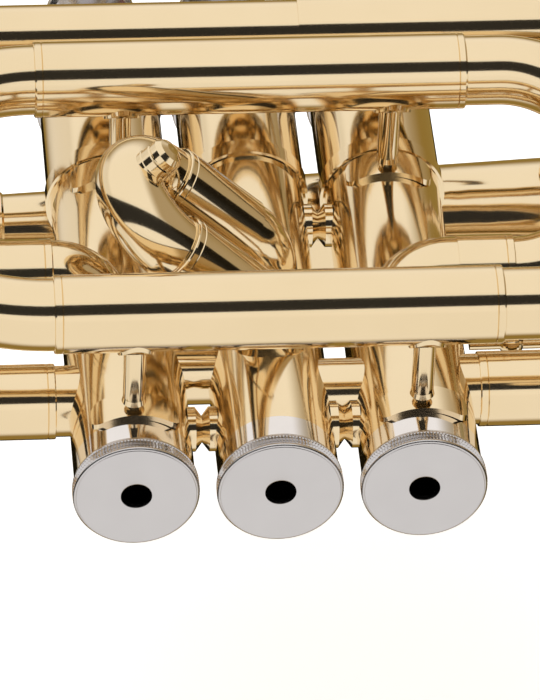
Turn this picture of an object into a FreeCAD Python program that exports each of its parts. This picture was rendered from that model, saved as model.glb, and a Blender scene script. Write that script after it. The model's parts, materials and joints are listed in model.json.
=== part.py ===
"""Pocket trumpet: one STEP file per sub-part, in parts/.

Frame, in millimetres: the origin is the middle of the second valve's bottom cap, on its outer face.
+X runs to the bell, +Y up the valves to the finger buttons, +Z to the player's right.
The instrument lies on its left side, so +Z is up.
"""

import FreeCAD, Part
import math
import os

from FreeCAD import Vector

# ---------------------------------------------------------------- driving dimensions, mm
VALVE_SPACING = 25.0
VALVE_X = (-VALVE_SPACING, 0.0, VALVE_SPACING)

CASING_BORE_R = 8.95
CASING_LOWER_R = 10.5
CASING_UPPER_R = 11.0
CASING_TOP_Y = 112.0
CASING_THREAD_R = 9.9
COLLAR_TOP_Y = 8.2
STEP_RING_R = 11.4
STEP_LEDGE_R = 10.95
STEP_RING_Y = (79.9, 80.6, 84.5)

CAP_FACE_R = 10.4
CAP_R = 11.0
CAP_TOP_Y = 3.25
CAP_FLOOR_Y = 1.3
CAP_VENT_R = 2.63
TOP_CAP_R = 11.6
TOP_CAP_Y = 108.0
TOP_CAP_TOP_Y = 117.0
TOP_CAP_FLOOR_Y = 113.2
TOP_CAP_STEM_R = 3.05

RUNNING_GAP = 0.05
PISTON_R = CASING_BORE_R - RUNNING_GAP
PISTON_BOTTOM_Y = 18.6
PISTON_TOP_Y = 77.0
PISTON_WALL = 0.7
PORT_LEVELS = (26.0, 40.0, 54.0)
PORT_R = 5.85
BARREL_R = 8.0
BARREL_TOP_Y = 110.0
BARREL_WALL = 0.8
GUIDE_Y = 80.0
GUIDE_THICKNESS = 2.6
GUIDE_WING_R = 9.7
GUIDE_WING_WIDTH = 3.0
VALVE_TRAVEL = 16.0
STEM_R = 3.0
BUTTON_R = 8.2
BUTTON_BOTTOM_Y = 134.6
BUTTON_TOP_Y = 139.0
PEARL_R = 6.6
FELT_THICKNESS = 1.2
SPRING_COIL_R = 6.2
SPRING_WIRE_R = 0.45
SPRING_TURNS = 9

SLEEVE_R = 6.8
INNER_TUBE_R = 6.25
SLEEVE_BORE_R = INNER_TUBE_R + RUNNING_GAP
BORE_R = 5.85
LIP_LENGTH = 1.4
LIP_GROOVE = 0.12
ELBOW_TUBE_R = 6.5
ELBOW_BEND_R = 7.2

CROSSING_Z = 32.0
LOWER_CROSSING_Y = 11.2
UPPER_CROSSING_Y = 76.5
CROSSING_REAR_X = -39.2
CROSSING_SEAM_X = -28.9
CROSSING_FRONT_X = 37.9

KNUCKLE_Z = 14.5
INLET_Y = 40.9
OUTLET_Y = 42.5
OUTLET_ANGLE = math.radians(60.0)
INLET_FERRULE_X = (33.8, 43.8)
OUTLET_FERRULE_X = (-45.7, -37.5)

REAR_CROSSOVER_Y = 33.5
FRONT_CROSSOVER_Y = 26.0

SLIDE_SLEEVE_R = 6.65
SLIDE_STUB_R = 6.25
FIRST_SLIDE_Y = (25.8, 51.4)
THIRD_SLIDE_Y = (26.3, 51.5)
FIRST_SLEEVE_X = (-57.0, -37.7)
FIRST_SLIDE_INSERT_X = -40.0
THIRD_SLEEVE_X = (36.8, 64.0)
THIRD_SLIDE_INSERT_X = 41.0
SLIDE_BOW_GAP = 2.0
STOP_ROD_R = 1.3
STOP_ROD_BALL_X = 44.2
STOP_ROD_BALL_R = 2.4
SADDLE_OFFSET = 3.0

SECOND_ANGLE = math.radians(43.1)
SECOND_LOWER_Y = 30.4
SECOND_UPPER_Y = 49.3
SECOND_VERTEX_Z = 14.0
SECOND_BEND_R = 10.0
SECOND_SLEEVE = (5.8, 23.7)
SECOND_INSERT = 9.0
SECOND_BOW_AT = 24.0
SECOND_BOW_R = 6.05

LEADPIPE_Y = 100.0
LEADPIPE_Z = 23.0
LEADPIPE_R = 6.3
LEADPIPE_REAR_X = -84.0
LEADPIPE_SLEEVE_X = (10.0, 66.0)
MAIN_SLIDE_INSERT_X = 16.0
MAIN_BOW_X = 78.0
MAIN_BRACE_X = 74.0

BELL_Y = 101.0
BELL_Z = -23.0
BELL_TAIL_X = -43.0
BELL_RIM_X = 178.0
BELL_TAIL_R = 7.25
BELL_CONE = 0.044
BELL_WALL = 0.7
BELL_RIM_R = 48.5
FLARE_REACH = 22.0
BELL_BOW_X = -80.0
BELL_BOW_R = 6.9
RIM_WIRE_R = 1.3

MOUTHPIECE_TIP_X = -86.0
MOUTHPIECE_RIM_X = -173.0
RECEIVER_REAR_X = -110.0

KEY_NIPPLE_X = 68.5
KEY_NIPPLE_Y = 2.6
KEY_NIPPLE_R = 2.4
KEY_DRAIN_R = 1.2
KEY_PIN_X = 58.0
KEY_PIN_Y = 0.8
KEY_PIN_R = 0.8
KEY_EYE_R = 2.0
KEY_BARREL_R = 1.7
KEY_EAR_Z = 3.6
KEY_EAR_THICKNESS = 1.2
KEY_THUMB_X = 49.5
KEY_THUMB_R = 3.6
KEY_LEVER_Y = (KEY_PIN_Y - 0.7, KEY_PIN_Y + 0.5)
KEY_CUP_R = 3.2
KEY_CORK_R = 2.6

Y_AXIS = Vector(0, 1, 0)
X_AXIS = Vector(1, 0, 0)
Z_AXIS = Vector(0, 0, 1)


# ---------------------------------------------------------------- helpers
def union(shapes):
    """One shape from several that touch or overlap."""
    shapes = list(shapes)
    if len(shapes) == 1:
        return shapes[0]
    return shapes[0].multiFuse(shapes[1:]).removeSplitter()


def cylinder(start, end, radius):
    """A solid cylinder between two points."""
    run = end - start
    return Part.makeCylinder(radius, run.Length, start, run)


def ring(start, end, outer, inner):
    """A hollow cylinder between two points."""
    return cylinder(start, end, outer).cut(cylinder(start, end, inner))


def lathe(outline, base, axis):
    """Turn an outline of (radius, height) points about an axis through base."""
    axis = Vector(axis).normalize()
    side = axis.cross(Z_AXIS)
    if side.Length < 0.1:
        side = axis.cross(X_AXIS)
    side.normalize()
    points = [base + side * r + axis * h for r, h in outline]
    face = Part.Face(Part.makePolygon(points + [points[0]]))
    return face.revolve(base, axis, 360)


def disc_face(centre, normal, radius, bore=0.0):
    """A flat round face, or a flat ring if it has a bore."""
    face = Part.Face(Part.Wire(Part.Circle(centre, normal, radius).toShape()))
    if bore:
        face = face.cut(Part.Face(Part.Wire(Part.Circle(centre, normal, bore).toShape())))
    return face


def corner(before, point, after, bend):
    """Tangent points, arc centre, arc axis and angle of a rounded corner."""
    into = (point - before).normalize()
    out = (after - point).normalize()
    turn = into.getAngle(out)
    reach = bend * math.tan(turn / 2)
    start = point - into * reach
    end = point + out * reach
    axis = into.cross(out).normalize()
    centre = start + axis.cross(into) * bend
    return start, end, centre, axis, math.degrees(turn)


def straight_run(start, end, radius, bore=0.0):
    """A straight bar, or a tube if it has a bore."""
    if bore:
        return ring(start, end, radius, bore)
    return cylinder(start, end, radius)


def rod(points, radius, bend, bore=0.0):
    """A bar or tube along straight runs joined by tangent arcs of one radius."""
    pieces = []
    here = points[0]
    for i in range(1, len(points) - 1):
        start, end, centre, axis, angle = corner(points[i - 1], points[i], points[i + 1], bend)
        heading = (points[i] - points[i - 1]).normalize()
        pieces.append(straight_run(here, start, radius, bore))
        pieces.append(disc_face(start, heading, radius, bore).revolve(centre, axis, angle))
        here = end
    pieces.append(straight_run(here, points[-1], radius, bore))
    return union(pieces)


def half_turn(start, end, heading, radius):
    """A half ring of round bar from one point round to another, bulging along heading."""
    middle = (start + end) * 0.5
    axis = heading.cross(end - start).normalize()
    return disc_face(start, heading, radius).revolve(middle, axis, 180)


def u_bow(start, end, heading, outer, inner):
    """A half-ring tube."""
    return half_turn(start, end, heading, outer).cut(half_turn(start, end, heading, inner))


def lipped_sleeve(start, end, outer, bore):
    """Sleeve with a rounded lip at its start, set off by a fine groove."""
    length = (end - start).Length
    edge = (outer - bore) * 0.6
    outline = [(bore, 0), (outer - edge, 0), (outer - 0.3 * edge, 0.3 * edge), (outer, edge),
               (outer, LIP_LENGTH - 0.12), (outer - LIP_GROOVE, LIP_LENGTH), (outer, LIP_LENGTH + 0.12),
               (outer, length), (bore, length)]
    return lathe(outline, start, end - start)


def bar_along_x(x_start, x_end, y, z, radius):
    """Solid bar parallel to X."""
    return cylinder(Vector(x_start, y, z), Vector(x_end, y, z), radius)


def tube_along_x(x_start, x_end, y, z, outer, inner):
    """A straight tube along X."""
    return ring(Vector(x_start, y, z), Vector(x_end, y, z), outer, inner)


def casing_plug(x, radius=CASING_LOWER_R):
    """A solid cylinder where a casing stands, used to trim what is soldered to it."""
    return cylinder(Vector(x, -5, 0), Vector(x, CASING_TOP_Y + 5, 0), radius)


def save(name, shape):
    """Write one sub-part."""
    shape.exportStep(f"parts/{name}.step")


# ---------------------------------------------------------------- paths of the tubing
def inlet_path():
    """Centre line of the knuckle into the third valve."""
    x = VALVE_X[2]
    return [Vector(x, INLET_Y, CASING_BORE_R - 4), Vector(x, INLET_Y, KNUCKLE_Z),
            Vector(INLET_FERRULE_X[1], INLET_Y, KNUCKLE_Z)]


def outlet_path():
    """Centre line of the knuckle out of the first valve."""
    out = Vector(-math.cos(OUTLET_ANGLE), 0, math.sin(OUTLET_ANGLE))
    axis = Vector(VALVE_X[0], OUTLET_Y, 0)
    return [axis + out * (CASING_BORE_R - 4), axis + out * (KNUCKLE_Z / out.z),
            Vector(OUTLET_FERRULE_X[0], OUTLET_Y, KNUCKLE_Z)]


def second_direction():
    """Unit vector in which the second slide is pulled."""
    return Vector(-math.cos(SECOND_ANGLE), 0, math.sin(SECOND_ANGLE))


def second_point(y, along):
    """A point on a leg of the second slide."""
    return Vector(0, y, SECOND_VERTEX_Z) + second_direction() * along


def second_path(y, reach):
    """Centre line of one leg of the second slide, from inside the casing."""
    return [Vector(0, y, CASING_BORE_R - 4), Vector(0, y, SECOND_VERTEX_Z), second_point(y, reach)]


def casing_ports(index):
    """Solid bars where air passes through one casing's wall."""
    x = VALVE_X[index]
    bars = []
    if index == 0:
        bars.append(rod(outlet_path(), BORE_R, ELBOW_BEND_R))
        for y in FIRST_SLIDE_Y:
            bars.append(bar_along_x(x - 14, x - 5, y, 0, BORE_R))
        bars.append(bar_along_x(x + 5, x + 14, REAR_CROSSOVER_Y, 0, BORE_R))
    if index == 1:
        for y in (SECOND_LOWER_Y, SECOND_UPPER_Y):
            bars.append(rod(second_path(y, 20), BORE_R, SECOND_BEND_R))
        bars.append(bar_along_x(x - 14, x - 5, REAR_CROSSOVER_Y, 0, BORE_R))
        bars.append(bar_along_x(x + 5, x + 14, FRONT_CROSSOVER_Y, 0, BORE_R))
    if index == 2:
        bars.append(rod(inlet_path(), BORE_R, ELBOW_BEND_R))
        for y in THIRD_SLIDE_Y:
            bars.append(bar_along_x(x + 5, x + 14, y, 0, BORE_R))
        bars.append(bar_along_x(x - 14, x - 5, FRONT_CROSSOVER_Y, 0, BORE_R))
    return bars


# ---------------------------------------------------------------- valves
def valve_casing(index):
    """Casing tube with its step ring, keyways for the guide and air ports."""
    x = VALVE_X[index]
    ledge_y, band_y, top_y = STEP_RING_Y
    outline = [(CASING_BORE_R, CAP_FLOOR_Y + 0.3), (CASING_THREAD_R, CAP_FLOOR_Y + 0.3),
               (CASING_THREAD_R, COLLAR_TOP_Y), (CASING_LOWER_R, COLLAR_TOP_Y),
               (CASING_LOWER_R, ledge_y), (STEP_LEDGE_R, ledge_y), (STEP_LEDGE_R, band_y - 0.1),
               (STEP_RING_R, band_y), (STEP_RING_R, top_y - 0.3), (CASING_UPPER_R, top_y),
               (CASING_UPPER_R, TOP_CAP_Y), (CASING_THREAD_R, TOP_CAP_Y),
               (CASING_THREAD_R, CASING_TOP_Y), (CASING_BORE_R, CASING_TOP_Y)]
    body = lathe(outline, Vector(x, 0, 0), Y_AXIS)
    keyway = Part.makeBox(2 * GUIDE_WING_R, CASING_TOP_Y, GUIDE_WING_WIDTH,
                          Vector(x - GUIDE_WING_R, GUIDE_Y, -GUIDE_WING_WIDTH / 2))
    body = body.cut(keyway)
    for bar in casing_ports(index):
        body = body.cut(bar)
    return body


def casing_collars():
    """Nickel ring at the foot of each casing."""
    return Part.makeCompound([
        ring(Vector(x, CAP_TOP_Y, 0), Vector(x, COLLAR_TOP_Y, 0), CASING_LOWER_R, CASING_THREAD_R)
        for x in VALVE_X])


def bottom_cap(x):
    """Screwed bottom cap with a bevelled vent hole."""
    vent_edge = 0.35
    outline = [(CAP_VENT_R + vent_edge, 0), (CAP_FACE_R, 0), (CAP_R, 0.6), (CAP_R, CAP_TOP_Y - 0.4),
               (CAP_R - 0.4, CAP_TOP_Y), (CASING_THREAD_R, CAP_TOP_Y), (CASING_THREAD_R, CAP_FLOOR_Y),
               (CAP_VENT_R, CAP_FLOOR_Y), (CAP_VENT_R, vent_edge)]
    return lathe(outline, Vector(x, 0, 0), Y_AXIS)


def top_cap(x):
    """Screwed top cap with a hole for the stem."""
    outline = [(CASING_THREAD_R, TOP_CAP_Y), (TOP_CAP_R, TOP_CAP_Y), (TOP_CAP_R, TOP_CAP_Y + 5.5),
               (TOP_CAP_R - 0.8, TOP_CAP_Y + 6.3), (TOP_CAP_R - 3.2, TOP_CAP_TOP_Y - 1.0),
               (TOP_CAP_R - 5.0, TOP_CAP_TOP_Y), (TOP_CAP_STEM_R, TOP_CAP_TOP_Y),
               (TOP_CAP_STEM_R, TOP_CAP_FLOOR_Y), (CASING_THREAD_R, TOP_CAP_FLOOR_Y)]
    return lathe(outline, Vector(x, 0, 0), Y_AXIS)


def piston(x):
    """Hollow piston with three cross ports and a slotted spring barrel on top."""
    skin = ring(Vector(x, PISTON_BOTTOM_Y, 0), Vector(x, PISTON_TOP_Y, 0), PISTON_R, PISTON_R - PISTON_WALL)
    ends = [ring(Vector(x, y, 0), Vector(x, y + 1.0, 0), PISTON_R, 1.5)
            for y in (PISTON_BOTTOM_Y, PISTON_TOP_Y)]
    barrel = ring(Vector(x, PISTON_TOP_Y, 0), Vector(x, BARREL_TOP_Y, 0), BARREL_R, BARREL_R - BARREL_WALL)
    lid = cylinder(Vector(x, BARREL_TOP_Y - 1.2, 0), Vector(x, BARREL_TOP_Y, 0), BARREL_R)
    body = union([skin, *ends, barrel, lid])
    slot_height = VALVE_TRAVEL + GUIDE_THICKNESS + 1.0
    slot = Part.makeBox(4 * BARREL_R, slot_height, GUIDE_WING_WIDTH + 0.6,
                        Vector(x - 2 * BARREL_R, GUIDE_Y - 0.4, -GUIDE_WING_WIDTH / 2 - 0.3))
    body = body.cut(slot)
    inside = cylinder(Vector(x, PISTON_BOTTOM_Y, 0), Vector(x, PISTON_TOP_Y, 0), PISTON_R)
    for level in PORT_LEVELS:
        ends = (Vector(x - 12, level, 0), Vector(x + 12, level, 0))
        body = union([body, cylinder(*ends, PORT_R + 0.5).common(inside)]).cut(cylinder(*ends, PORT_R))
    return body


def valve_guides():
    """Guide that keeps each piston from turning: a disc with two wings in the casing's keyways."""
    guides = []
    for x in VALVE_X:
        disc = ring(Vector(x, GUIDE_Y, 0), Vector(x, GUIDE_Y + GUIDE_THICKNESS, 0),
                    BARREL_R - BARREL_WALL - 0.35, 2.0)
        wings = Part.makeBox(2 * GUIDE_WING_R - 0.2, GUIDE_THICKNESS, GUIDE_WING_WIDTH - 0.2,
                             Vector(x - GUIDE_WING_R + 0.1, GUIDE_Y, -GUIDE_WING_WIDTH / 2 + 0.1))
        hole = cylinder(Vector(x, GUIDE_Y - 1, 0), Vector(x, GUIDE_Y + GUIDE_THICKNESS + 1, 0), 2.0)
        guides.append(union([disc, wings]).cut(hole))
    return Part.makeCompound(guides)


def valve_spring(x):
    """Compression spring between the guide and the barrel's lid, as a stack of closed turns."""
    bottom = GUIDE_Y + GUIDE_THICKNESS + SPRING_WIRE_R + 0.1
    top = BARREL_TOP_Y - 1.2 - SPRING_WIRE_R - 0.1
    pitch = (top - bottom) / (SPRING_TURNS - 1)
    return Part.makeCompound([
        Part.makeTorus(SPRING_COIL_R, SPRING_WIRE_R, Vector(x, bottom + i * pitch, 0), Y_AXIS)
        for i in range(SPRING_TURNS)])


def valve_stem(x):
    """Stem with a flange that stands on the barrel."""
    outline = [(0, BARREL_TOP_Y), (5.0, BARREL_TOP_Y), (5.0, BARREL_TOP_Y + 1.2),
               (STEM_R, BARREL_TOP_Y + 1.2), (STEM_R, BUTTON_BOTTOM_Y), (0, BUTTON_BOTTOM_Y)]
    return lathe(outline, Vector(x, 0, 0), Y_AXIS)


def finger_button(x):
    """Dished finger button with a recess for its inlay."""
    outline = [(0, BUTTON_BOTTOM_Y), (4.0, BUTTON_BOTTOM_Y), (BUTTON_R - 0.8, BUTTON_BOTTOM_Y + 1.4),
               (BUTTON_R, BUTTON_BOTTOM_Y + 2.4), (BUTTON_R, BUTTON_TOP_Y - 0.5),
               (BUTTON_R - 0.5, BUTTON_TOP_Y), (PEARL_R, BUTTON_TOP_Y), (PEARL_R, BUTTON_TOP_Y - 1.4),
               (0, BUTTON_TOP_Y - 1.4)]
    return lathe(outline, Vector(x, 0, 0), Y_AXIS)


def pearl(x):
    """Inlay of a finger button, dished on top."""
    outline = [(0, BUTTON_TOP_Y - 1.4), (PEARL_R, BUTTON_TOP_Y - 1.4), (PEARL_R, BUTTON_TOP_Y - 0.2),
               (PEARL_R - 2.5, BUTTON_TOP_Y - 0.6), (0, BUTTON_TOP_Y - 0.8)]
    return lathe(outline, Vector(x, 0, 0), Y_AXIS)


def button_felts():
    """Felt washer on each top cap, which the button lands on."""
    return Part.makeCompound([
        ring(Vector(x, TOP_CAP_TOP_Y, 0), Vector(x, TOP_CAP_TOP_Y + FELT_THICKNESS, 0), 6.0, STEM_R + 0.4)
        for x in VALVE_X])


# ---------------------------------------------------------------- fixed tubing
def crossing_tube(y):
    """Long tube across the front of the casings, with a lip at its bell end."""
    bore = SLEEVE_BORE_R if y == LOWER_CROSSING_Y else INNER_TUBE_R
    return lipped_sleeve(Vector(CROSSING_FRONT_X, y, CROSSING_Z), Vector(CROSSING_SEAM_X, y, CROSSING_Z),
                         SLEEVE_R, bore)


def tube_ferrules():
    """Ferrules of the fixed tubing."""
    rear = [lipped_sleeve(Vector(CROSSING_REAR_X, y, CROSSING_Z), Vector(CROSSING_SEAM_X, y, CROSSING_Z),
                          SLEEVE_R, INNER_TUBE_R)
            for y in (LOWER_CROSSING_Y, UPPER_CROSSING_Y)]
    inlet = lipped_sleeve(Vector(INLET_FERRULE_X[1], INLET_Y, KNUCKLE_Z),
                          Vector(INLET_FERRULE_X[0], INLET_Y, KNUCKLE_Z), SLEEVE_R, ELBOW_TUBE_R)
    outlet = lipped_sleeve(Vector(OUTLET_FERRULE_X[1], OUTLET_Y, KNUCKLE_Z),
                           Vector(OUTLET_FERRULE_X[0], OUTLET_Y, KNUCKLE_Z), SLEEVE_R, ELBOW_TUBE_R)
    tail = Vector(BELL_TAIL_X - 4, BELL_Y, BELL_Z)
    bell = lathe([(BELL_BOW_R, 0), (BELL_TAIL_R + 0.5, 0), (BELL_TAIL_R + 0.2, 2.0),
                  (BELL_TAIL_R + 0.5, 3.6), (BELL_TAIL_R + 0.25, 4.0), (BELL_BOW_R, 4.0)], tail, X_AXIS)
    return Part.makeCompound([*rear, inlet, outlet, bell])


def rear_bow():
    """Half-ring bow that joins the two crossing tubes behind the valves."""
    low = Vector(CROSSING_REAR_X, LOWER_CROSSING_Y, CROSSING_Z)
    high = Vector(CROSSING_REAR_X, UPPER_CROSSING_Y, CROSSING_Z)
    bow = u_bow(low, high, Vector(-1, 0, 0), INNER_TUBE_R, BORE_R)
    legs = [tube_along_x(CROSSING_REAR_X, CROSSING_SEAM_X - 0.2, y, CROSSING_Z, INNER_TUBE_R, BORE_R)
            for y in (LOWER_CROSSING_Y, UPPER_CROSSING_Y)]
    return union([bow, *legs])


def front_inner_bow():
    """Small bow from the upper crossing tube back to the inlet knuckle."""
    x = INLET_FERRULE_X[1]
    high = Vector(x, UPPER_CROSSING_Y, CROSSING_Z)
    low = Vector(x, INLET_Y, KNUCKLE_Z)
    bow = u_bow(high, low, X_AXIS, INNER_TUBE_R, BORE_R)
    leg = tube_along_x(CROSSING_FRONT_X - 14, x, UPPER_CROSSING_Y, CROSSING_Z, INNER_TUBE_R, BORE_R)
    return union([bow, leg])


def knuckle(path, x):
    """Elbow from a casing's side into the tubing, trimmed to the casing."""
    return rod(path, ELBOW_TUBE_R, ELBOW_BEND_R, BORE_R).cut(casing_plug(x))


def crossover_tubes():
    """Short tubes between neighbouring casings."""
    tubes = []
    for left, right, y in ((0, 1, REAR_CROSSOVER_Y), (1, 2, FRONT_CROSSOVER_Y)):
        tube = tube_along_x(VALVE_X[left] + 5, VALVE_X[right] - 5, y, 0, INNER_TUBE_R, BORE_R)
        tubes.append(tube.cut(casing_plug(VALVE_X[left])).cut(casing_plug(VALVE_X[right])))
    return Part.makeCompound(tubes)


def spool(x, y):
    """Turned spool brace between two casings."""
    half = 2.6
    disc, waist = 3.95, 2.35
    outline = [(0, -half), (disc, -half), (disc, -1.2), (waist, 0), (disc, 1.2), (disc, half), (0, half)]
    turned = lathe(outline, Vector(x, y, 0), X_AXIS)
    for side in (-1, 1):
        turned = turned.cut(casing_plug(x + side * VALVE_SPACING / 2))
    crossover_y = REAR_CROSSOVER_Y if x < 0 else FRONT_CROSSOVER_Y
    return turned.cut(cylinder(Vector(x - 5, crossover_y, 0), Vector(x + 5, crossover_y, 0), INNER_TUBE_R))


def wrapped_plate(width, half_arc, inner, thickness, corner_r):
    """Rounded rectangle bent round the Y axis, centred on +Z: width along Y, arc round the axis."""
    strip = ring(Vector(0, -width / 2, 0), Vector(0, width / 2, 0), inner + thickness, inner)
    half = inner * math.sin(half_arc / inner)
    mask = Part.makeBox(2 * half, width, 2 * inner, Vector(-half, -width / 2, 0))
    upright = [e for e in mask.Edges if abs(e.Length - 2 * inner) < 1e-6]
    return strip.common(mask.makeFillet(corner_r, upright))


def post(x, y, casing_x):
    """Turned post from a crossing tube to a casing, with a wrapped plate at each end."""
    foot = wrapped_plate(6.1, 8.6, CASING_LOWER_R, 1.0, 2.0)
    foot.translate(Vector(casing_x + 0.3, y, 0))
    foot = foot.cut(casing_plug(casing_x))
    saddle = wrapped_plate(6.5, 8.2, SLEEVE_R, 0.45, 3.1)
    saddle.rotate(Vector(0, 0, 0), Z_AXIS, 90)
    saddle.rotate(Vector(0, 0, 0), X_AXIS, 180)
    saddle.translate(Vector(x, y, CROSSING_Z))
    low = CASING_LOWER_R + 0.6
    high = CROSSING_Z - SLEEVE_R + 0.1
    outline = [(0, low), (1.5, low), (1.5, low + 0.7), (2.15, low + 1.3), (1.95, low + 2.3), (1.95, high),
               (0, high)]
    turned = lathe(outline, Vector(x, y, 0), Z_AXIS)
    tube = cylinder(Vector(x - 10, y, CROSSING_Z), Vector(x + 10, y, CROSSING_Z), SLEEVE_R)
    return union([foot, saddle, turned]).cut(tube)


def valve_braces():
    """Spools between the casings and posts to the crossing tubes."""
    middles = (-VALVE_SPACING / 2, VALVE_SPACING / 2)
    spools = [spool(x, y) for x in middles for y in (17.4, 72.9)]
    places = [(VALVE_X[0], LOWER_CROSSING_Y, VALVE_X[0]), (VALVE_X[2], LOWER_CROSSING_Y, VALVE_X[2]),
              (VALVE_X[0] + 1.5, UPPER_CROSSING_Y, VALVE_X[0]), (VALVE_X[2], UPPER_CROSSING_Y, VALVE_X[2])]
    return Part.makeCompound(spools + [post(*place) for place in places])


# ---------------------------------------------------------------- bell
def bell_radius(x):
    """Outer radius of the bell: a slow cone with a flare that grows towards the rim."""
    cone = BELL_TAIL_R + BELL_CONE * (x - BELL_TAIL_X)
    flare_at_rim = BELL_RIM_R - BELL_TAIL_R - BELL_CONE * (BELL_RIM_X - BELL_TAIL_X)
    return cone + flare_at_rim * (FLARE_REACH / (BELL_RIM_X + FLARE_REACH - x)) ** 3


def bell():
    """Bell from its tail to the rim, as one thin flare."""
    stations = [BELL_TAIL_X, 0, 50, 90, 115, 135, 150, 160, 168, 174, BELL_RIM_X]
    outer = [Vector(x, BELL_Y + bell_radius(x), BELL_Z) for x in stations]
    inner = [Vector(x + BELL_WALL * (0 if i == 0 else 0.4), BELL_Y + bell_radius(x) - BELL_WALL, BELL_Z)
             for i, x in enumerate(stations)]
    inner[-1] = Vector(BELL_RIM_X + BELL_WALL, BELL_Y + BELL_RIM_R - 0.1, BELL_Z)
    curves = []
    for points in (outer, list(reversed(inner))):
        spline = Part.BSplineCurve()
        spline.interpolate(points)
        curves.append(spline.toShape())
    front = Part.makeLine(outer[-1], inner[-1])
    back = Part.makeLine(inner[0], outer[0])
    face = Part.Face(Part.Wire([curves[0], front, curves[1], back]))
    return face.revolve(Vector(0, BELL_Y, BELL_Z), X_AXIS, 360)


def bell_rim_wire():
    """Round wire that stiffens the rim."""
    return Part.makeTorus(BELL_RIM_R + RIM_WIRE_R - 0.2, RIM_WIRE_R,
                          Vector(BELL_RIM_X - RIM_WIRE_R + 0.6, BELL_Y, BELL_Z), X_AXIS)


def bell_bow():
    """Bow from the outlet knuckle round to the bell's tail."""
    low = Vector(BELL_BOW_X, OUTLET_Y, KNUCKLE_Z)
    high = Vector(BELL_BOW_X, BELL_Y, BELL_Z)
    bow = u_bow(low, high, Vector(-1, 0, 0), BELL_BOW_R, BORE_R)
    lower = tube_along_x(BELL_BOW_X, OUTLET_FERRULE_X[0], OUTLET_Y, KNUCKLE_Z, BELL_BOW_R, BORE_R)
    upper = tube_along_x(BELL_BOW_X, BELL_TAIL_X, BELL_Y, BELL_Z, BELL_BOW_R, BORE_R)
    return union([bow, lower, upper])


def bell_braces():
    """Two turned braces between the bell and the leadpipe."""
    braces = []
    for x, bell_r, pipe_r in ((-50.5, BELL_BOW_R, LEADPIPE_R), (60.0, bell_radius(60.0), SLEEVE_R)):
        low = BELL_Z + bell_r - 0.6
        high = LEADPIPE_Z - pipe_r + 0.6
        middle = (low + high) / 2
        outline = [(0, low), (3.4, low), (3.4, low + 2.2), (1.7, low + 3.4), (1.7, middle - 2.0),
                   (2.4, middle), (1.7, middle + 2.0), (1.7, high - 3.4), (3.4, high - 2.2), (3.4, high),
                   (0, high)]
        turned = lathe(outline, Vector(x, LEADPIPE_Y + 0.5, 0), Z_AXIS)
        bell_bar = bar_along_x(x - 8, x + 8, BELL_Y, BELL_Z, bell_r + 0.15)
        pipe_bar = bar_along_x(x - 8, x + 8, LEADPIPE_Y, LEADPIPE_Z, pipe_r)
        braces.append(turned.cut(bell_bar).cut(pipe_bar))
    return Part.makeCompound(braces)


# ---------------------------------------------------------------- leadpipe and mouthpiece
def leadpipe():
    """Mouthpipe with the sleeve that holds the tuning slide's upper leg."""
    base = tube_along_x(LEADPIPE_REAR_X, LEADPIPE_SLEEVE_X[0] + 2, LEADPIPE_Y, LEADPIPE_Z,
                        LEADPIPE_R, BORE_R)
    sleeve = lipped_sleeve(Vector(LEADPIPE_SLEEVE_X[1], LEADPIPE_Y, LEADPIPE_Z),
                           Vector(LEADPIPE_SLEEVE_X[0], LEADPIPE_Y, LEADPIPE_Z), SLEEVE_R, SLEEVE_BORE_R)
    collar = tube_along_x(LEADPIPE_SLEEVE_X[0], LEADPIPE_SLEEVE_X[0] + 2, LEADPIPE_Y, LEADPIPE_Z,
                          SLEEVE_R, LEADPIPE_R)
    return union([base, collar, sleeve])


def mouthpiece_receiver():
    """Socket that takes the mouthpiece's shank."""
    base = Vector(0, LEADPIPE_Y, LEADPIPE_Z)
    outline = [(5.05, RECEIVER_REAR_X), (8.2, RECEIVER_REAR_X), (8.2, RECEIVER_REAR_X + 3),
               (7.4, RECEIVER_REAR_X + 4.5), (7.1, LEADPIPE_REAR_X + 3), (7.5, LEADPIPE_REAR_X + 5),
               (7.5, LEADPIPE_REAR_X + 8), (LEADPIPE_R, LEADPIPE_REAR_X + 9), (LEADPIPE_R, LEADPIPE_REAR_X),
               (5.05, LEADPIPE_REAR_X)]
    return lathe(outline, base, X_AXIS)


def mouthpiece():
    """Cup, throat and shank; the shank runs in the receiver."""
    shank_r = 5.0
    rim, tip = MOUTHPIECE_RIM_X, MOUTHPIECE_TIP_X
    outline = [(8.2, rim + 0.6), (10.2, rim), (12.4, rim), (13.4, rim + 1.2), (13.5, rim + 3.0),
               (12.6, rim + 4.6), (12.4, rim + 9.0), (11.0, rim + 15.0), (7.6, rim + 22.0),
               (5.6, rim + 27.0), (5.2, rim + 30.0), (6.2, rim + 32.0), (5.4, rim + 34.0),
               (shank_r, rim + 38.0), (shank_r, tip), (4.2, tip), (1.9, rim + 24.0), (1.9, rim + 19.0),
               (6.4, rim + 10.0), (8.0, rim + 4.0)]
    return lathe(outline, Vector(0, LEADPIPE_Y, LEADPIPE_Z), X_AXIS)


def finger_hook():
    """Open hook on the leadpipe for the little finger."""
    y_foot = LEADPIPE_Y + SLEEVE_R
    path = [Vector(24, y_foot - 0.2, LEADPIPE_Z), Vector(24, y_foot + 22, LEADPIPE_Z),
            Vector(46, y_foot + 22, LEADPIPE_Z), Vector(46, y_foot + 10, LEADPIPE_Z)]
    hook = rod(path, 1.9, 8.0)
    foot = Part.makeBox(12, 3.0, 5.0, Vector(18, y_foot - 1.6, LEADPIPE_Z - 2.5))
    clear = bar_along_x(10, 60, LEADPIPE_Y, LEADPIPE_Z, SLEEVE_R)
    return union([hook, foot]).cut(clear)


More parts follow.
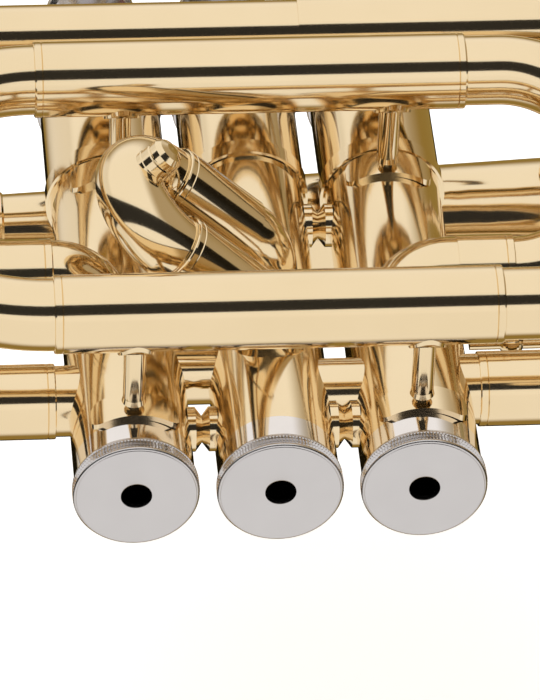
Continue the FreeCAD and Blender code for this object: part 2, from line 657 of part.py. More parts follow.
# ---------------------------------------------------------------- valve slides
def slide_sleeves(x_range, levels, casing_x):
    """Two fixed outer legs of the first or third slide, with short stubs on the casing."""
    near, far = sorted(x_range, key=lambda x: abs(x - casing_x))
    away = 1 if far > near else -1
    legs = []
    for y in levels:
        stub = tube_along_x(*sorted((casing_x + away * 5, near)), y, 0, SLIDE_STUB_R, BORE_R)
        middle = Vector((near + far) / 2, y, 0)
        inner_half = lipped_sleeve(Vector(near, y, 0), middle, SLIDE_SLEEVE_R, SLEEVE_BORE_R)
        outer_half = lipped_sleeve(Vector(far, y, 0), middle, SLIDE_SLEEVE_R, SLEEVE_BORE_R)
        shoulder = tube_along_x(*sorted((near, near + away * 1.5)), y, 0, SLEEVE_BORE_R + 0.1, BORE_R)
        legs.append(union([stub.cut(casing_plug(casing_x)), inner_half, outer_half, shoulder]))
    return legs


def stop_rod_guide():
    """Cross bar between the third slide's sleeves, with the hole that guides the stop rod."""
    low, high = THIRD_SLIDE_Y
    x = THIRD_SLEEVE_X[1] - 2.0
    middle = Vector(x, (low + high) / 2, 0)
    bar = cylinder(Vector(x, low, 0), Vector(x, high, 0), 1.6)
    boss = cylinder(middle - X_AXIS * 1.6, middle + X_AXIS * 1.6, STOP_ROD_R + 1.4)
    guide = union([bar, boss]).cut(bar_along_x(x - 4, x + 4, middle.y, 0, STOP_ROD_R + RUNNING_GAP))
    for y in THIRD_SLIDE_Y:
        guide = guide.cut(bar_along_x(x - 6, x + 6, y, 0, SLIDE_SLEEVE_R))
    return guide


def straight_slide(insert_x, sleeve_end_x, levels):
    """Two inner legs and their bow, for the first or third slide."""
    away = 1 if sleeve_end_x > insert_x else -1
    bow_x = sleeve_end_x + away * SLIDE_BOW_GAP
    low, high = (Vector(bow_x, y, 0) for y in levels)
    bow = u_bow(low, high, X_AXIS * away, INNER_TUBE_R, BORE_R)
    legs = [tube_along_x(*sorted((insert_x, bow_x)), y, 0, INNER_TUBE_R, BORE_R) for y in levels]
    return union([bow, *legs])


def second_slide_sleeves():
    """Elbows on the second casing and the two fixed outer legs."""
    legs = []
    for y in (SECOND_LOWER_Y, SECOND_UPPER_Y):
        elbow = rod(second_path(y, SECOND_SLEEVE[0]), ELBOW_TUBE_R, SECOND_BEND_R, BORE_R)
        elbow = elbow.cut(casing_plug(0))
        start, end = second_point(y, SECOND_SLEEVE[0]), second_point(y, SECOND_SLEEVE[1])
        sleeve = lipped_sleeve(end, start, SLEEVE_R, SLEEVE_BORE_R)
        shoulder = ring(start, start + second_direction() * 1.5, SLEEVE_R - 0.1, BORE_R)
        legs.append(union([elbow, sleeve, shoulder]))
    return Part.makeCompound(legs)


def second_slide():
    """Inner legs and tight bow of the second slide."""
    low, high = (second_point(y, SECOND_BOW_AT) for y in (SECOND_LOWER_Y, SECOND_UPPER_Y))
    bow = u_bow(low, high, second_direction(), SECOND_BOW_R, BORE_R - 0.2)
    legs = [ring(second_point(y, SECOND_INSERT), second_point(y, SECOND_BOW_AT), INNER_TUBE_R, BORE_R - 0.2)
            for y in (SECOND_LOWER_Y, SECOND_UPPER_Y)]
    return union([bow, *legs])


def second_slide_knob():
    """Turned knob that stands on the second slide's bow."""
    radius = (SECOND_UPPER_Y - SECOND_LOWER_Y) / 2
    apex = second_point((SECOND_UPPER_Y + SECOND_LOWER_Y) / 2, SECOND_BOW_AT + radius)
    normal = Vector(math.sin(SECOND_ANGLE), 0, math.cos(SECOND_ANGLE))
    outline = [(0, 4.3), (3.35, 4.3), (3.35, 5.9), (3.2, 6.05), (3.2, 7.7), (2.95, 7.9), (2.95, 8.05),
               (3.05, 8.2), (3.05, 9.4), (2.4, 10.3), (1.2, 10.75), (0, 10.8)]
    turned = lathe(outline, apex, normal)
    return turned.cut(half_turn(second_point(SECOND_LOWER_Y, SECOND_BOW_AT),
                                second_point(SECOND_UPPER_Y, SECOND_BOW_AT),
                                second_direction(), SECOND_BOW_R))


def first_slide_saddle():
    """Open thumb saddle on top of the first slide's bow, clear of the sleeve."""
    bow_x = FIRST_SLEEVE_X[0] - SLIDE_BOW_GAP
    x = bow_x - SADDLE_OFFSET
    y = FIRST_SLIDE_Y[1] + INNER_TUBE_R
    path = [Vector(x - 8, y + 14, 0), Vector(x - 8, y + 1.2, 0), Vector(x + 8, y + 1.2, 0),
            Vector(x + 8, y + 14, 0)]
    low, high = (Vector(bow_x, level, 0) for level in FIRST_SLIDE_Y)
    bow = half_turn(low, high, -X_AXIS, INNER_TUBE_R)
    leg = cylinder(high, high + X_AXIS * 12, INNER_TUBE_R)
    sleeve = cylinder(high + X_AXIS * (SLIDE_BOW_GAP - 0.4), high + X_AXIS * 12, SLIDE_SLEEVE_R + 0.4)
    return rod(path, 1.6, 6.0).cut(bow).cut(leg).cut(sleeve)


def third_slide_ring():
    """Finger ring on the third slide's upper leg."""
    x = THIRD_SLEEVE_X[1] + SLIDE_BOW_GAP + 2.0
    y = THIRD_SLIDE_Y[1] + INNER_TUBE_R + 11.5
    hoop = ring(Vector(x, y, -1.75), Vector(x, y, 1.75), 11.9, 10.2)
    leg_y = THIRD_SLIDE_Y[1]
    return hoop.cut(cylinder(Vector(x - 15, leg_y, 0), Vector(x + 15, leg_y, 0), INNER_TUBE_R))


def third_slide_stop_rod():
    """Rod from the third slide's bow back between its legs, with a ball that meets the guide."""
    low, high = THIRD_SLIDE_Y
    y = (low + high) / 2
    bow_x = THIRD_SLEEVE_X[1] + SLIDE_BOW_GAP
    start = VALVE_X[2] + CASING_LOWER_R + 1.2
    end = bow_x + (high - low) / 2 - INNER_TUBE_R - 0.15
    half_ball = math.sqrt(STOP_ROD_BALL_R ** 2 - STOP_ROD_R ** 2)
    runs = [cylinder(Vector(start, y, 0), Vector(STOP_ROD_BALL_X - half_ball, y, 0), STOP_ROD_R),
            cylinder(Vector(STOP_ROD_BALL_X + half_ball, y, 0), Vector(end, y, 0), STOP_ROD_R)]
    ball = lathe([(0, -half_ball)] + [
        (math.sqrt(STOP_ROD_BALL_R ** 2 - h ** 2), h)
        for h in (half_ball * step / 5 for step in range(-5, 6))] + [(0, half_ball)],
        Vector(STOP_ROD_BALL_X, y, 0), X_AXIS)
    return union([*runs, ball])


# ---------------------------------------------------------------- main tuning slide
def main_legs():
    """Where the main slide's two legs meet its bow."""
    return Vector(MAIN_BOW_X, LOWER_CROSSING_Y, CROSSING_Z), Vector(MAIN_BOW_X, LEADPIPE_Y, LEADPIPE_Z)


def main_tuning_slide():
    """Long front bow whose legs run in the lower crossing tube and the leadpipe's sleeve."""
    low, high = main_legs()
    bow = u_bow(low, high, X_AXIS, INNER_TUBE_R, BORE_R)
    legs = [tube_along_x(MAIN_SLIDE_INSERT_X, MAIN_BOW_X, p.y, p.z, INNER_TUBE_R, BORE_R)
            for p in (low, high)]
    drain = cylinder(Vector(KEY_NIPPLE_X, KEY_NIPPLE_Y, CROSSING_Z),
                     Vector(KEY_NIPPLE_X, LOWER_CROSSING_Y, CROSSING_Z), KEY_DRAIN_R)
    return union([bow, *legs]).cut(drain)


def main_slide_brace():
    """Turned rod between the main slide's legs."""
    low, high = (Vector(MAIN_BRACE_X, p.y, p.z) for p in main_legs())
    run = (high - low).normalize()
    length = (high - low).Length
    start, end = INNER_TUBE_R - 0.6, length - INNER_TUBE_R + 0.6
    outline = [(0, start), (2.8, start), (2.8, start + 2.2), (1.6, start + 3.4), (1.6, length / 2 - 2),
               (2.4, length / 2), (1.6, length / 2 + 2), (1.6, end - 3.4), (2.8, end - 2.2), (2.8, end),
               (0, end)]
    turned = lathe(outline, low, run)
    for p in (low, high):
        turned = turned.cut(cylinder(p - X_AXIS * 8, p + X_AXIS * 8, INNER_TUBE_R))
    return turned


# ---------------------------------------------------------------- water key
def leg_bar(x_middle):
    """Solid bar that fills the main slide's lower leg near the water key."""
    return bar_along_x(x_middle - 5, x_middle + 5, LOWER_CROSSING_Y, CROSSING_Z, INNER_TUBE_R)


def key_pin_bar(z_start, z_end, radius):
    """Solid bar on the axis of the water key's pin, measured from the leg's middle."""
    return cylinder(Vector(KEY_PIN_X, KEY_PIN_Y, CROSSING_Z + z_start),
                    Vector(KEY_PIN_X, KEY_PIN_Y, CROSSING_Z + z_end), radius)


def key_disc(x, y_range, z_offset, radius):
    """Round pad of the water key that lies across Y."""
    low, high = y_range
    return cylinder(Vector(x, low, CROSSING_Z + z_offset), Vector(x, high, CROSSING_Z + z_offset), radius)


def water_key_mount():
    """Nipple and the two ears that carry the lever's pin."""
    top_y = LOWER_CROSSING_Y - 3.5
    nipple = ring(Vector(KEY_NIPPLE_X, KEY_NIPPLE_Y, CROSSING_Z), Vector(KEY_NIPPLE_X, top_y, CROSSING_Z),
                  KEY_NIPPLE_R, KEY_DRAIN_R)
    solids = [nipple.cut(leg_bar(KEY_NIPPLE_X))]
    half = KEY_EAR_THICKNESS / 2
    for offset in (-KEY_EAR_Z, KEY_EAR_Z):
        ear = Part.makeBox(2 * KEY_EYE_R, top_y - KEY_PIN_Y, KEY_EAR_THICKNESS,
                           Vector(KEY_PIN_X - KEY_EYE_R, KEY_PIN_Y, CROSSING_Z + offset - half))
        eye = key_pin_bar(offset - half, offset + half, KEY_EYE_R)
        hole = key_pin_bar(offset - 2, offset + 2, KEY_PIN_R)
        solids.append(union([ear, eye]).cut(hole).cut(leg_bar(KEY_PIN_X)))
    return Part.makeCompound(solids)


def water_key_pivot():
    """Pin through the ears, with a spring wound on it."""
    half = KEY_EAR_Z + KEY_EAR_THICKNESS / 2 + 0.4
    pin = key_pin_bar(-half, half, KEY_PIN_R)
    coils = []
    for turn in range(3):
        middle = Vector(KEY_PIN_X, KEY_PIN_Y, CROSSING_Z + 1.3 + 0.55 * turn)
        coils.append(Part.makeTorus(KEY_PIN_R + 0.25, 0.3, middle, Z_AXIS))
    return union([pin, *coils])


def water_key_lever():
    """Rocking lever: thumb piece, barrel on the pin and the cup that holds the cork."""
    top = 0.8
    bottom = KEY_EAR_THICKNESS / 2 + 0.3 - KEY_EAR_Z
    low, high = KEY_LEVER_Y
    barrel = key_pin_bar(bottom, top, KEY_BARREL_R)
    arm = Part.makeBox(KEY_NIPPLE_X - KEY_THUMB_X, high - low, top - bottom,
                       Vector(KEY_THUMB_X, low, CROSSING_Z + bottom))
    cup = key_disc(KEY_NIPPLE_X, KEY_LEVER_Y, 0, KEY_CUP_R)
    thumb = key_disc(KEY_THUMB_X, KEY_LEVER_Y, -0.6, KEY_THUMB_R)
    hole = key_pin_bar(-10, 10, KEY_PIN_R + RUNNING_GAP)
    return union([barrel, arm, cup, thumb]).cut(hole)


def water_key_cork():
    """Cork pad that closes the nipple."""
    return key_disc(KEY_NIPPLE_X, (KEY_LEVER_Y[1], KEY_NIPPLE_Y - RUNNING_GAP), 0, KEY_CORK_R)


def build():
    """Make and save every sub-part."""
    os.makedirs("parts", exist_ok=True)
    for i, x in enumerate(VALVE_X):
        n = i + 1
        save(f"valve_casing_{n}", valve_casing(i))
        save(f"bottom_cap_{n}", bottom_cap(x))
        save(f"top_cap_{n}", top_cap(x))
        save(f"piston_{n}", piston(x))
        save(f"valve_spring_{n}", valve_spring(x))
        save(f"valve_stem_{n}", valve_stem(x))
        save(f"finger_button_{n}", finger_button(x))
        save(f"button_pearl_{n}", pearl(x))
    save("casing_collars", casing_collars())
    save("valve_guides", valve_guides())
    save("button_felts", button_felts())
    save("lower_crossing_tube", crossing_tube(LOWER_CROSSING_Y))
    save("upper_crossing_tube", crossing_tube(UPPER_CROSSING_Y))
    save("tube_ferrules", tube_ferrules())
    save("rear_bow", rear_bow())
    save("front_inner_bow", front_inner_bow())
    save("inlet_knuckle", knuckle(inlet_path(), VALVE_X[2]))
    save("outlet_knuckle", knuckle(outlet_path(), VALVE_X[0]))
    save("crossover_tubes", crossover_tubes())
    save("valve_braces", valve_braces())
    save("bell", bell())
    save("bell_rim_wire", bell_rim_wire())
    save("bell_bow", bell_bow())
    save("bell_braces", bell_braces())
    save("leadpipe", leadpipe())
    save("mouthpiece_receiver", mouthpiece_receiver())
    save("mouthpiece", mouthpiece())
    save("finger_hook", finger_hook())
    save("first_slide_sleeves", Part.makeCompound(slide_sleeves(FIRST_SLEEVE_X, FIRST_SLIDE_Y, VALVE_X[0])))
    save("first_slide", straight_slide(FIRST_SLIDE_INSERT_X, FIRST_SLEEVE_X[0], FIRST_SLIDE_Y))
    save("first_slide_saddle", first_slide_saddle())
    save("second_slide_sleeves", second_slide_sleeves())
    save("second_slide", second_slide())
    save("second_slide_knob", second_slide_knob())
    third_sleeves = slide_sleeves(THIRD_SLEEVE_X, THIRD_SLIDE_Y, VALVE_X[2])
    save("third_slide_sleeves", union([*third_sleeves, stop_rod_guide()]))
    save("third_slide", straight_slide(THIRD_SLIDE_INSERT_X, THIRD_SLEEVE_X[1], THIRD_SLIDE_Y))
    save("third_slide_ring", third_slide_ring())
    save("third_slide_stop_rod", third_slide_stop_rod())
    save("main_tuning_slide", main_tuning_slide())
    save("main_slide_brace", main_slide_brace())
    save("water_key_mount", water_key_mount())
    save("water_key_pivot", water_key_pivot())
    save("water_key_lever", water_key_lever())
    save("water_key_cork", water_key_cork())


build()
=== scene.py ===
"""Looks of the pocket trumpet: metals, knurled caps, a pale floor and soft studio light."""

import json
import math

import bpy
from mathutils import Matrix, Vector


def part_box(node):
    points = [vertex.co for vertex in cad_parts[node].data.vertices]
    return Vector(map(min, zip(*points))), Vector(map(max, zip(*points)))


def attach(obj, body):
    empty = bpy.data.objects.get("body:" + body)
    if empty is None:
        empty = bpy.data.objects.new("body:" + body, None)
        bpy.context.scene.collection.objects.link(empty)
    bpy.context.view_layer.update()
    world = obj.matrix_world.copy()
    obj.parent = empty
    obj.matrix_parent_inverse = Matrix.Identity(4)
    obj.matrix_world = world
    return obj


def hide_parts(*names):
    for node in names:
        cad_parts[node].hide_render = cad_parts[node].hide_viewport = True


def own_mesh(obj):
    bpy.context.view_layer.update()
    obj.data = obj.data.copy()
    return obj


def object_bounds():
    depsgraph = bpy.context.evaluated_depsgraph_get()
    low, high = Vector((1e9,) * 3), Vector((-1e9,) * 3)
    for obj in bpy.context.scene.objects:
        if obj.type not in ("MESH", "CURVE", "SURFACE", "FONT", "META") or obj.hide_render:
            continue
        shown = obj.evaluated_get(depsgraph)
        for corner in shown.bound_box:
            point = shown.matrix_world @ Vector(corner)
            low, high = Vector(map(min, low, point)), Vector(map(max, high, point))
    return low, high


MM = 0.001

# ---------------------------------------------------------------- view
VIEW_TARGET = Vector((-0.65, 21.75, 14.0)) * MM
VIEW_AZIMUTH = math.radians(-6.17)
VIEW_ELEVATION = math.radians(40.07)
VIEW_ROLL = math.radians(2.55)
VIEW_DISTANCE = 1160.9 * MM
LENS_MM = 343.3
SENSOR_MM = 36.0

# ---------------------------------------------------------------- studio
PANEL_LIGHT = 1.0
SLOT_LIGHT = 0.03
SLOT_ELEVATION = math.radians(51)
SLOT_HALF_WIDTH = 0.26
PANEL_COLOR = (1.0, 0.985, 0.96)
BACK_GLOW_COLOR = (0.30, 0.205, 0.055)
SLOT_EDGE = 0.012
FLOOR_DROP = 0.4 * MM
FLOOR_SIZE = 8.0
FLOOR_GLOW = 0.7

# Each panel: where its light starts and is full along one axis of the world, and its two levels.
RIGHT_FADE = (0.3, 0.62, 1.0, 0.22)
ABOVE_PANEL = (-0.12, 0.36, 0.0, 1.0)
FRONT_PANEL = (-0.05, -0.45, 0.0, 0.95)
LEFT_PANEL = (-0.35, -0.6, 0.0, 0.8)

KEY_SIZE = (1.4, 0.9)
KEY_POWER = 5.0
KEY_PLACE = (-0.5, 0.5, 1.5)

# ---------------------------------------------------------------- valves
VALVE_SPACING = 25.0 * MM
BORE_EDGE = 9.2 * MM
# Painted shade: the nearly black colour given to the casings' bores, standing in for the shade inside them.
BORE_PAINTED_SHADE = (0.012, 0.010, 0.008)

# ---------------------------------------------------------------- knurled caps
KNURL_TICKS = 116
STEPS_PER_TICK = 4
KNURL_DEPTH = 0.16
CAP_VENT_R = 2.63
CAP_FLOOR = 1.3
CAP_THREAD_R = 9.95
STEM_HOLE_R = 3.1
CROWN_THICKNESS = 3.6


# ---------------------------------------------------------------- materials
def new_material(name, metallic, roughness):
    """A material with one Principled shader; returns it with its node tree and shader."""
    material = bpy.data.materials.new(name)
    material.use_nodes = True
    tree = material.node_tree
    shader = tree.nodes["Principled BSDF"]
    shader.inputs["Metallic"].default_value = metallic
    shader.inputs["Roughness"].default_value = roughness
    return material, tree, shader


def noise(tree, scale, detail=3.0):
    """Noise in object coordinates."""
    coords = tree.nodes.new("ShaderNodeTexCoord")
    texture = tree.nodes.new("ShaderNodeTexNoise")
    texture.inputs["Scale"].default_value = scale
    texture.inputs["Detail"].default_value = detail
    tree.links.new(coords.outputs["Object"], texture.inputs["Vector"])
    return texture.outputs["Fac"]


def mottle(tree, shader, low, high, scale):
    """Base colour that drifts between two close tones."""
    ramp = tree.nodes.new("ShaderNodeValToRGB")
    ramp.color_ramp.elements[0].position = 0.3
    ramp.color_ramp.elements[1].position = 0.7
    ramp.color_ramp.elements[0].color = (*low, 1.0)
    ramp.color_ramp.elements[1].color = (*high, 1.0)
    tree.links.new(noise(tree, scale), ramp.inputs["Fac"])
    tree.links.new(ramp.outputs["Color"], shader.inputs["Base Color"])


def vary_roughness(tree, shader, low, high, scale):
    """Roughness that drifts between two values."""
    spread = tree.nodes.new("ShaderNodeMapRange")
    spread.inputs["To Min"].default_value = low
    spread.inputs["To Max"].default_value = high
    tree.links.new(noise(tree, scale), spread.inputs["Value"])
    tree.links.new(spread.outputs["Result"], shader.inputs["Roughness"])


def fine_bump(tree, shader, scale, strength, distance):
    """Small surface relief."""
    bump = tree.nodes.new("ShaderNodeBump")
    bump.inputs["Strength"].default_value = strength
    bump.inputs["Distance"].default_value = distance
    tree.links.new(noise(tree, scale, 2.0), bump.inputs["Height"])
    tree.links.new(bump.outputs["Normal"], shader.inputs["Normal"])


def lacquered_brass(name="lacquered_brass"):
    """Mirror-polished brass under clear lacquer, with a faint ripple."""
    material, tree, shader = new_material(name, 1.0, 0.1)
    mottle(tree, shader, (0.855, 0.685, 0.435), (0.885, 0.715, 0.465), 45.0)
    vary_roughness(tree, shader, 0.08, 0.13, 160.0)
    fine_bump(tree, shader, 120.0, 0.03, 0.0004)
    shader.inputs["Coat Weight"].default_value = 0.25
    shader.inputs["Coat Roughness"].default_value = 0.03
    return material


def math_node(tree, operation, first, second):
    """Result of a maths node; either input is a socket or a number."""
    node = tree.nodes.new("ShaderNodeMath")
    node.operation = operation
    for socket, value in zip(node.inputs, (first, second)):
        if isinstance(value, (int, float)):
            socket.default_value = value
        else:
            tree.links.new(value, socket)
    return node.outputs["Value"]


def casing_brass_painted_bore_shade():
    """Lacquered brass with painted shade: the bore is coloured nearly black so that the vents in the caps
    read dark.
    """
    material = lacquered_brass("casing_brass_painted_bore_shade")
    tree = material.node_tree
    shader = tree.nodes["Principled BSDF"]
    coords = tree.nodes.new("ShaderNodeTexCoord")
    parts = tree.nodes.new("ShaderNodeSeparateXYZ")
    tree.links.new(coords.outputs["Object"], parts.inputs["Vector"])
    across = math_node(tree, "PINGPONG", parts.outputs["X"], VALVE_SPACING / 2)
    squares = math_node(tree, "ADD", math_node(tree, "POWER", across, 2.0),
                        math_node(tree, "POWER", parts.outputs["Z"], 2.0))
    # Inside the bore radius the base colour becomes painted shade, nearly black.
    outside = math_node(tree, "GREATER_THAN", squares, BORE_EDGE ** 2)
    lacquer = shader.inputs["Base Color"].links[0].from_socket
    mix = tree.nodes.new("ShaderNodeMix")
    mix.data_type = "RGBA"
    mix.inputs["A"].default_value = (*BORE_PAINTED_SHADE, 1.0)
    tree.links.new(outside, mix.inputs["Factor"])
    tree.links.new(lacquer, mix.inputs["B"])
    tree.links.new(mix.outputs["Result"], shader.inputs["Base Color"])
    return material


def raw_brass():
    """Turned brass, duller than the lacquered tubes."""
    material, tree, shader = new_material("raw_brass", 1.0, 0.3)
    mottle(tree, shader, (0.62, 0.45, 0.20), (0.74, 0.56, 0.27), 300.0)
    fine_bump(tree, shader, 900.0, 0.1, 0.0002)
    return material


def satin_nickel():
    """Satin nickel plate with a fine grain."""
    material, tree, shader = new_material("satin_nickel", 1.0, 0.2)
    mottle(tree, shader, (0.615, 0.595, 0.60), (0.635, 0.615, 0.62), 120.0)
    vary_roughness(tree, shader, 0.17, 0.23, 700.0)
    fine_bump(tree, shader, 2600.0, 0.02, 0.0001)
    return material


def bright_nickel():
    """Polished nickel silver."""
    material, tree, shader = new_material("nickel", 1.0, 0.08)
    mottle(tree, shader, (0.80, 0.75, 0.72), (0.84, 0.79, 0.76), 120.0)
    return material


def silver_plate():
    """Polished silver plate with light handling marks."""
    material, tree, shader = new_material("silver_plate", 1.0, 0.08)
    mottle(tree, shader, (0.85, 0.83, 0.80), (0.92, 0.91, 0.88), 90.0)
    vary_roughness(tree, shader, 0.05, 0.14, 240.0)
    return material


def monel():
    """Lapped valve metal with fine turning marks."""
    material, tree, shader = new_material("monel", 1.0, 0.22)
    mottle(tree, shader, (0.50, 0.50, 0.48), (0.60, 0.60, 0.58), 600.0)
    fine_bump(tree, shader, 1800.0, 0.08, 0.0001)
    return material


def spring_steel():
    """Drawn steel wire."""
    material, tree, shader = new_material("spring_steel", 1.0, 0.28)
    mottle(tree, shader, (0.42, 0.43, 0.45), (0.56, 0.57, 0.58), 800.0)
    return material


def pearl():
    """Nacre: pale bands with a glossy coat."""
    material, tree, shader = new_material("pearl", 0.0, 0.2)
    mottle(tree, shader, (0.80, 0.84, 0.82), (0.95, 0.88, 0.84), 260.0)
    shader.inputs["Coat Weight"].default_value = 1.0
    shader.inputs["Coat Roughness"].default_value = 0.05
    return material


def felt():
    """Pressed red-brown felt."""
    material, tree, shader = new_material("felt", 0.0, 0.95)
    mottle(tree, shader, (0.16, 0.03, 0.03), (0.28, 0.06, 0.06), 2400.0)
    fine_bump(tree, shader, 3500.0, 0.8, 0.0003)
    shader.inputs["Sheen Weight"].default_value = 0.6
    return material


def cork():
    """Cork with dark flecks."""
    material, tree, shader = new_material("cork", 0.0, 0.8)
    mottle(tree, shader, (0.30, 0.17, 0.09), (0.66, 0.46, 0.28), 1600.0)
    fine_bump(tree, shader, 2200.0, 0.5, 0.0002)
    return material


def paint(obj, material):
    """Give an object one material."""
    obj.data.materials.clear()
    obj.data.materials.append(material)


# ---------------------------------------------------------------- meshes
def turned_mesh(name, outline, centre, steps):
    """A closed turned mesh about +Y: outline points are (radius, height, knurled) in millimetres."""
    points = []
    for radius, height, knurled in outline:
        for k in range(steps):
            angle = 2.0 * math.pi * k / steps
            wave = KNURL_DEPTH * math.cos(2.0 * math.pi * k / STEPS_PER_TICK) if knurled else 0.0
            points.append(centre + Vector(((radius + wave) * math.cos(angle), height,
                                           (radius + wave) * math.sin(angle))) * MM)
    faces = []
    rows = len(outline)
    for row in range(rows):
        below, above = row * steps, ((row + 1) % rows) * steps
        for k in range(steps):
            nxt = (k + 1) % steps
            faces.append((below + k, below + nxt, above + nxt, above + k))
    mesh = bpy.data.meshes.new(name)
    mesh.from_pydata(points, [], faces)
    mesh.validate()
    obj = bpy.data.objects.new(name, mesh)
    bpy.context.scene.collection.objects.link(obj)
    return obj


def soften(obj, angle=math.radians(34)):
    """Smooth shading with crisp edges, and faces that point outwards."""
    bpy.context.view_layer.objects.active = obj
    obj.select_set(True)
    bpy.ops.object.mode_set(mode="EDIT")
    bpy.ops.mesh.select_all(action="SELECT")
    bpy.ops.mesh.normals_make_consistent(inside=False)
    bpy.ops.object.mode_set(mode="OBJECT")
    bpy.ops.object.shade_smooth_by_angle(angle=angle)
    obj.select_set(False)


def bottom_cap_outline(cap_r, height):
    """Half section of a bottom cap: bevelled vent, flat face, two knurled rows and a bead."""
    face_r = cap_r - 0.55
    return [(CAP_VENT_R, CAP_FLOOR, 0), (CAP_VENT_R, 0.32, 0), (CAP_VENT_R + 0.09, 0.12, 0),
            (CAP_VENT_R + 0.35, 0.0, 0), (face_r - 0.08, 0.0, 0), (face_r, 0.07, 0),
            (face_r + 0.08, 0.02, 0), (face_r + 0.3, 0.12, 0), (cap_r - 0.06, 0.42, 0),
            (cap_r - 0.04, 0.6, 0), (cap_r - 0.2, 0.68, 0), (cap_r - 0.12, 0.76, 1), (cap_r - 0.12, 1.42, 1),
            (cap_r - 0.3, 1.5, 0), (cap_r - 0.12, 1.58, 1), (cap_r - 0.12, 2.26, 1), (cap_r - 0.3, 2.36, 0),
            (cap_r - 0.3, 2.42, 0), (cap_r - 0.05, 2.54, 0), (cap_r, 2.72, 0), (cap_r - 0.04, 2.98, 0),
            (cap_r - 0.2, 3.16, 0), (cap_r - 0.5, height, 0), (CAP_THREAD_R, height, 0),
            (CAP_THREAD_R, CAP_FLOOR, 0)]


def top_cap_outline(cap_r, base_y, top_y):
    """Half section of a top cap: knurled band, shoulder and a raised crown."""
    return [(STEM_HOLE_R, top_y - CROWN_THICKNESS, 0), (STEM_HOLE_R, top_y, 0), (cap_r - 5.2, top_y, 0),
            (cap_r - 4.6, top_y - 0.15, 0), (cap_r - 3.3, top_y - 1.0, 0),
            (cap_r - 1.0, base_y + 6.4, 0), (cap_r - 0.3, base_y + 5.9, 0),
            (cap_r - 0.05, base_y + 5.5, 0), (cap_r - 0.05, base_y + 5.0, 0), (cap_r - 0.25, base_y + 4.8, 0),
            (cap_r - 0.13, base_y + 4.65, 1), (cap_r - 0.13, base_y + 3.2, 1),
            (cap_r - 0.32, base_y + 3.1, 0), (cap_r - 0.13, base_y + 3.0, 1),
            (cap_r - 0.13, base_y + 1.4, 1), (cap_r - 0.25, base_y + 1.2, 0),
            (cap_r, base_y + 1.0, 0), (cap_r, base_y + 0.3, 0), (cap_r - 0.3, base_y, 0),
            (CAP_THREAD_R, base_y, 0), (CAP_THREAD_R, top_y - CROWN_THICKNESS, 0)]


def add_caps(material):
    """Knurled caps in place of the plain ones."""
    steps = KNURL_TICKS * STEPS_PER_TICK
    for n in (1, 2, 3):
        low, high = (Vector(corner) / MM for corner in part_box(f"bottom_cap_{n}"))
        centre = Vector(((low.x + high.x) / 2, 0.0, 0.0)) * MM
        cap = turned_mesh(f"knurled_bottom_cap_{n}",
                          bottom_cap_outline((high.x - low.x) / 2, high.y), centre, steps)
        crown_low, crown_high = (Vector(corner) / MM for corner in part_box(f"top_cap_{n}"))
        crown = turned_mesh(f"knurled_top_cap_{n}",
                            top_cap_outline((crown_high.x - crown_low.x) / 2, crown_low.y, crown_high.y),
                            centre, steps)
        for piece, node in ((cap, f"bottom_cap_{n}"), (crown, f"top_cap_{n}")):
            soften(piece)
            paint(piece, material)
            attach(piece, "horn")
            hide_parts(node)


# ---------------------------------------------------------------- studio
def view_rotation():
    """Camera rotation from azimuth, elevation and roll."""
    return (Matrix.Rotation(VIEW_AZIMUTH, 4, "Z") @ Matrix.Rotation(math.pi / 2 - VIEW_ELEVATION, 4, "X")
            @ Matrix.Rotation(VIEW_ROLL, 4, "Z"))


def add_camera():
    """Long lens that looks down on the valve block."""
    data = bpy.data.cameras.new("camera")
    data.lens = LENS_MM
    data.sensor_width = SENSOR_MM
    data.clip_start = 0.01
    data.clip_end = 50.0
    camera = bpy.data.objects.new("camera", data)
    bpy.context.scene.collection.objects.link(camera)
    rotation = view_rotation()
    back = rotation.to_3x3() @ Vector((0, 0, 1))
    camera.matrix_world = Matrix.Translation(VIEW_TARGET + back * VIEW_DISTANCE) @ rotation
    bpy.context.scene.camera = camera


def add_floor(low):
    """Pale floor under the lowest point, with a little light of its own and hidden from reflections."""
    half = FLOOR_SIZE / 2
    z = low[2] - FLOOR_DROP
    corners = [(-half, -half, z), (half, -half, z), (half, half, z), (-half, half, z)]
    mesh = bpy.data.meshes.new("floor")
    mesh.from_pydata(corners, [], [(0, 1, 2, 3)])
    floor = bpy.data.objects.new("floor", mesh)
    bpy.context.scene.collection.objects.link(floor)
    material, tree, shader = new_material("floor", 0.0, 0.9)
    mottle(tree, shader, (0.90, 0.90, 0.90), (0.92, 0.92, 0.92), 2.0)
    shader.inputs["Emission Color"].default_value = (1.0, 1.0, 1.0, 1.0)
    shader.inputs["Emission Strength"].default_value = FLOOR_GLOW
    paint(floor, material)
    floor.visible_glossy = False


def ramp_value(tree, value, start, end, low, high):
    """A number that goes from low to high as value goes from start to end."""
    spread = tree.nodes.new("ShaderNodeMapRange")
    spread.interpolation_type = "SMOOTHSTEP"
    for name, number in (("From Min", start), ("From Max", end), ("To Min", low), ("To Max", high)):
        spread.inputs[name].default_value = number
    tree.links.new(value, spread.inputs["Value"])
    return spread.outputs["Result"]


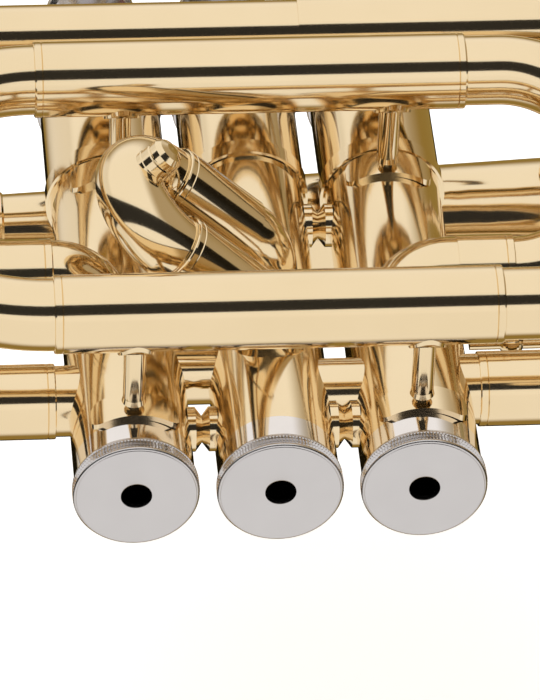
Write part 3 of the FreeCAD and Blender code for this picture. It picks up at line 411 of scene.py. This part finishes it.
def add_world():
    """Light panels above, in front and to the left, a dim brown rest, and one dark band across them."""
    world = bpy.data.worlds.new("studio")
    bpy.context.scene.world = world
    world.use_nodes = True
    tree = world.node_tree
    background = tree.nodes["Background"]
    coords = tree.nodes.new("ShaderNodeTexCoord")
    parts = tree.nodes.new("ShaderNodeSeparateXYZ")
    tree.links.new(coords.outputs["Generated"], parts.inputs["Vector"])
    right = ramp_value(tree, parts.outputs["X"], *RIGHT_FADE)
    above = math_node(tree, "MULTIPLY", right, ramp_value(tree, parts.outputs["Z"], *ABOVE_PANEL))
    front = ramp_value(tree, parts.outputs["Y"], *FRONT_PANEL)
    left = ramp_value(tree, parts.outputs["X"], *LEFT_PANEL)
    lit = math_node(tree, "MAXIMUM", above, math_node(tree, "MAXIMUM", front, left))
    mix = tree.nodes.new("ShaderNodeMix")
    mix.data_type = "RGBA"
    mix.inputs["A"].default_value = (*BACK_GLOW_COLOR, 1.0)
    mix.inputs["B"].default_value = (*PANEL_COLOR, 1.0)
    tree.links.new(lit, mix.inputs["Factor"])
    tree.links.new(mix.outputs["Result"], background.inputs["Color"])
    across = tree.nodes.new("ShaderNodeVectorMath")
    across.operation = "DOT_PRODUCT"
    across.inputs[1].default_value = (0.0, math.sin(SLOT_ELEVATION), math.cos(SLOT_ELEVATION))
    tree.links.new(coords.outputs["Generated"], across.inputs[0])
    beside = math_node(tree, "ABSOLUTE", across.outputs["Value"], 0.0)
    strength = ramp_value(tree, beside, SLOT_HALF_WIDTH, SLOT_HALF_WIDTH + SLOT_EDGE,
                          SLOT_LIGHT, PANEL_LIGHT)
    tree.links.new(strength, background.inputs["Strength"])


def add_key_light():
    """Large soft light from above, hidden from reflections."""
    data = bpy.data.lights.new("key", "AREA")
    data.shape = "RECTANGLE"
    data.size, data.size_y = KEY_SIZE
    data.energy = KEY_POWER
    light = bpy.data.objects.new("key", data)
    bpy.context.scene.collection.objects.link(light)
    light.location = KEY_PLACE
    light.rotation_euler = (-light.location).to_track_quat("-Z", "Y").to_euler()
    light.visible_glossy = False


# ---------------------------------------------------------------- build
def shorten_springs(frame):
    """Give each valve spring its own copy of its mesh."""
    for n in (1, 2, 3):
        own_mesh(frame["nodes"][f"valve_spring_{n}"])


def dress(frame):
    """Put each CAD node's finish on it and add the knurled caps."""
    finishes = {
        "lacquered_brass": lacquered_brass(), "raw_brass": raw_brass(), "satin_nickel": satin_nickel(),
        "nickel": bright_nickel(), "silver_plate": silver_plate(), "monel": monel(),
        "spring_steel": spring_steel(), "pearl": pearl(), "felt": felt(), "cork": cork(),
    }
    for subpart in frame["record"]["subparts"]:
        paint(frame["nodes"][subpart["node"]], finishes[subpart["material_slot"]])
    # The valve casings get brass with painted shade in their bores.
    casing = casing_brass_painted_bore_shade()
    for n in (1, 2, 3):
        paint(frame["nodes"][f"valve_casing_{n}"], casing)
    add_caps(finishes["satin_nickel"])
    shorten_springs(frame)


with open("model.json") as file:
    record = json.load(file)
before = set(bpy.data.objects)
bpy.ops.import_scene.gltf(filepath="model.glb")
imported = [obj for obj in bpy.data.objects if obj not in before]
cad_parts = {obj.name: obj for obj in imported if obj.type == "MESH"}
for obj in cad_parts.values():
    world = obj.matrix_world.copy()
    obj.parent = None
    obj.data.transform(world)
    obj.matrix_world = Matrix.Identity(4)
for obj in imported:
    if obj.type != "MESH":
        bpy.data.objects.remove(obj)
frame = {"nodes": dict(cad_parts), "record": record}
cad_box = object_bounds()
dress(frame)
add_camera()
add_floor(cad_box[0])
add_world()
add_key_light()
bpy.context.scene.view_settings.view_transform = "Standard"
